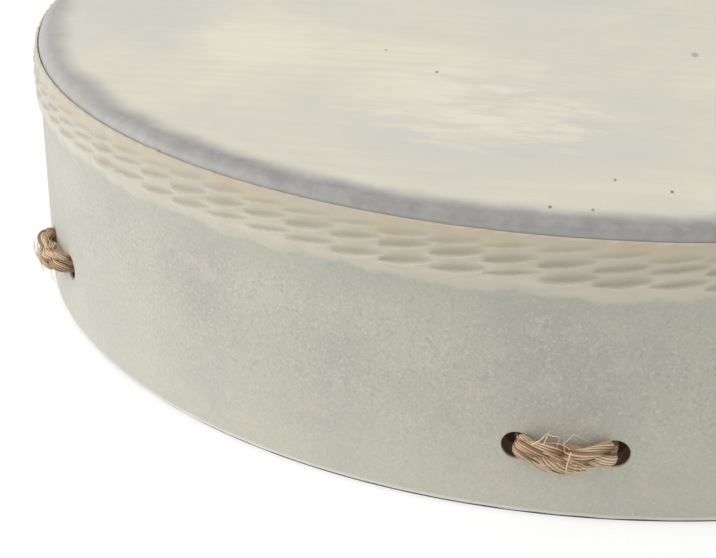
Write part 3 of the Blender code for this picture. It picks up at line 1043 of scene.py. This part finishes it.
def stitch_hairs(number):
    """Loose fibres on one outside stitch, in the front loop's place."""
    random = np.random.default_rng(40 + number)
    made = [surface_fibre(random) for _ in range(SURFACE_FIBRES)]
    if number == 0:
        made += [hair(path, thickness) for thickness, path in FRONT_HAIRS]
    else:
        made += [stray_fibre(random) for _ in range(STRAY_FIBRES)]
    return made


def rope_loops(finish):
    for number in range(PAIRS):
        parts = rope_parts(number + 1) + stitch_hairs(number)
        turn = tau * number / PAIRS
        points, faces, uv, values = joined([rotated(part, turn) for part in parts])
        made = piece(f"plaited_rope_{number + 1}", points, faces, finish, uv, values)
        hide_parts(f"rope_loop_{number + 1}")
        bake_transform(made)


def round_grip(angles, radius, turn):
    """A line that winds round the middle line of the grip's ring."""
    reach = GRIP_RADIUS + radius * np.cos(turn)
    return ring_points(angles, reach, WEB_HEIGHT + radius * np.sin(turn))


def laid_ring(finish):
    """The ring's own rope, of three strands."""
    angles = np.linspace(0, tau, RING_STEPS, endpoint=False)
    radii = np.full(RING_STEPS, RING_STRAND_SIZE * GRIP_ROPE_RADIUS)
    parts = []
    for strand in range(3):
        turn = RING_LAYS * angles + tau * strand / 3
        line = round_grip(angles, RING_STRAND_PLACE * GRIP_ROPE_RADIUS, turn)
        parts.append(tube(line, radii, RING_STRAND_SIDES, True))
    points, faces, uv, values = joined(parts)
    ring = piece("laid_ring", points, faces, finish, uv, values)
    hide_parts("grip_ring")
    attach(ring, "grip")


def serving(finish):
    """The close winding of twine on the ring."""
    room = tau * (GRIP_RADIUS - serving_round) / (2 * SERVING_TWINE_RADIUS)
    turns = round(room * SERVING_CLOSENESS)
    steps = turns * SERVING_STEPS
    around = np.linspace(0, tau, steps, endpoint=False)
    line = round_grip(around, serving_round, turns * around)
    radii = np.full(steps, SERVING_TWINE_RADIUS)
    points, faces, uv, values = tube(line, radii, SERVING_SIDES, True, seed=5, tone=TWINE_TONE)
    wound = piece("twine_serving", points, faces, finish, uv, values)
    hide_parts("grip_serving")
    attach(wound, "grip")


def seizing_part(seed):
    """Close turns of twine round the two legs of the front loop."""
    turns = int(seizing_length / (2 * SEIZING_TWINE_RADIUS))
    cap = np.linspace(-pi / 2, pi / 2, SEIZING_CAP_SPOTS)
    lap = np.concatenate([cap + pi / 2, cap + 3 * pi / 2])
    lift = np.repeat([leg_height, -leg_height], SEIZING_CAP_SPOTS)
    rows = []
    for turn in range(turns):
        for spot in range(len(lap)):
            wound = SEIZING_STEP * SEIZING_TWINE_RADIUS * (turn + spot / len(lap))
            height = WEB_HEIGHT + seizing_round * sin(lap[spot]) + lift[spot]
            rows.append((seizing_round * cos(lap[spot]), -(seizing_start + wound), height))
    line, _, _ = evenly(np.array(rows), SEIZING_SAMPLE, False)
    radii = np.full(len(line), SEIZING_TWINE_RADIUS)
    return tube(line, radii, SEIZING_SIDES, False, seed=seed, tone=TWINE_TONE)


def seizings(finish):
    for number in range(PAIRS):
        points, faces, uv, values = rotated(seizing_part(number), tau * number / PAIRS)
        bound = piece(f"twine_seizing_{number + 1}", points, faces, finish, uv, values)
        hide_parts(f"seizing_{number + 1}")
        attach(bound, "grip")


def camera():
    forward = Vector(
        (
            sin(CAMERA_PAN) * cos(CAMERA_TILT),
            cos(CAMERA_PAN) * cos(CAMERA_TILT),
            -sin(CAMERA_TILT),
        )
    )
    level = Vector((cos(CAMERA_PAN), -sin(CAMERA_PAN), 0))
    upright = level.cross(forward)
    right = cos(CAMERA_ROLL) * level + sin(CAMERA_ROLL) * upright
    up = -sin(CAMERA_ROLL) * level + cos(CAMERA_ROLL) * upright
    data = bpy.data.cameras.new("camera")
    data.sensor_width = SENSOR
    data.lens = FOCAL_PIXELS * SENSOR / IMAGE_WIDTH
    data.clip_start = CLIP_START
    made = bpy.data.objects.new("camera", data)
    turn = Matrix((right, up, -forward)).transposed().to_4x4()
    made.matrix_world = Matrix.Translation(CAMERA_PLACE) @ turn
    bpy.context.scene.collection.objects.link(made)
    bpy.context.scene.camera = made


def seen_directly(tree):
    """1 for what the camera sees, also in or through a glossy surface, and 0 for other light."""
    path = add_node(tree, "LightPath")
    seen = path.outputs["Is Camera Ray"]
    for ray in ("Is Glossy Ray", "Is Transmission Ray"):
        either = add_node(tree, "Math", {0: seen, 1: path.outputs[ray]}, operation="MAXIMUM")
        seen = either.outputs[0]
    return seen


def studio():
    """White to the camera, and soft light from all round."""
    world = bpy.data.worlds.new("studio")
    world.use_nodes = True
    bpy.context.scene.world = world
    tree = world.node_tree
    background = tree.nodes["Background"]
    background.inputs["Color"].default_value = (1, 1, 1, 1)
    level = add_node(tree, "MapRange", {0: seen_directly(tree), 3: AMBIENT, 4: 1})
    tree.links.new(level.outputs[0], background.inputs["Strength"])
    bpy.context.scene.view_settings.view_transform = "Standard"


def floor_paint():
    """Pale and near white to the camera, painted dark brown as shade under the drum, and clear from
    beneath.
    """
    paint = bpy.data.materials.new("floor")
    paint.use_nodes = True
    tree = paint.node_tree
    tree.nodes.clear()
    spot = add_node(tree, "TexCoord").outputs["Object"]
    reach = add_node(tree, "VectorMath", {0: spot}, operation="LENGTH").outputs["Value"]
    past_hoop = add_node(tree, "Math", {0: reach, 1: hoop_inside}, operation="GREATER_THAN")
    open_floor = past_hoop.outputs[0]
    # Painted shade: the floor under the drum is dark brown
    tones = {0: open_floor, 6: UNDER_DRUM_SHADE, 7: grey(FLOOR_COLOUR)}
    shade = add_node(tree, "Mix", tones, data_type="RGBA").outputs[2]
    matte = add_node(tree, "BsdfDiffuse", {"Color": shade}).outputs[0]
    # What the camera sees of the open floor: a part lit by the lamps and a steady glow
    lit = add_node(tree, "BsdfDiffuse", {"Color": grey(FLOOR_SHARE)}).outputs[0]
    glow = add_node(tree, "Emission", {"Strength": FLOOR_GLOW}).outputs[0]
    bright = add_node(tree, "AddShader", {0: lit, 1: glow}).outputs[0]
    both = {0: seen_directly(tree), 1: open_floor}
    seen = add_node(tree, "Math", both, operation="MULTIPLY").outputs[0]
    above = add_node(tree, "MixShader", {0: seen, 1: matte, 2: bright}).outputs[0]
    # From beneath the floor is clear, so that the open back shows
    beneath = add_node(tree, "NewGeometry").outputs["Backfacing"]
    clear = add_node(tree, "BsdfTransparent").outputs[0]
    surface = add_node(tree, "MixShader", {0: beneath, 1: above, 2: clear}).outputs[0]
    add_node(tree, "OutputMaterial", {"Surface": surface})
    return paint


def floor_plane():
    mesh = bpy.data.meshes.new("floor")
    corners = [(-1, -1), (1, -1), (1, 1), (-1, 1)]
    places = [(FLOOR_SIZE * x, FLOOR_SIZE * y, 0) for x, y in corners]
    mesh.from_pydata(places, [], [(0, 1, 2, 3)])
    mesh.materials.append(floor_paint())
    floor = bpy.data.objects.new("floor", mesh)
    floor.location = (0, 0, -FLOOR_DROP)
    bpy.context.scene.collection.objects.link(floor)


def lamp(name, place, power, size):
    """A round lamp that faces the drum."""
    data = bpy.data.lights.new(name, "AREA")
    data.shape = "DISK"
    data.size = size
    data.energy = power
    made = bpy.data.objects.new(name, data)
    made.location = place
    aim = Vector((0, 0, AIM_HEIGHT)) - Vector(place)
    made.rotation_mode = "QUATERNION"
    made.rotation_quaternion = aim.to_track_quat("-Z", "Y")
    bpy.context.scene.collection.objects.link(made)
    return made


def lamps():
    for row in LAMPS:
        lamp(*row)
    under_film = (0, 0, DRUM_DEPTH - THROUGH_DROP)
    through = lamp("through_head", under_film, THROUGH_HEAD, THROUGH_SHARE * hoop_inside)
    through.data.color = THROUGH_COLOUR
    through.visible_camera = False


def build():
    camera()
    studio()
    floor_plane()
    lamps()
    cutter = drill()
    shell(board_finish(), cutter)
    head(film_finish())
    sleeve(felt_finish(), cutter)
    bpy.data.objects.remove(cutter, do_unlink=True)
    rope = fibre_finish("plant_fibre_rope", (108, 66, 40), (198, 158, 120), (234, 212, 172))
    twine = fibre_finish("pale_twine", (170, 140, 100), (214, 190, 150), (232, 216, 184))
    rope_loops(rope)
    laid_ring(rope)
    serving(twine)
    seizings(twine)


build()
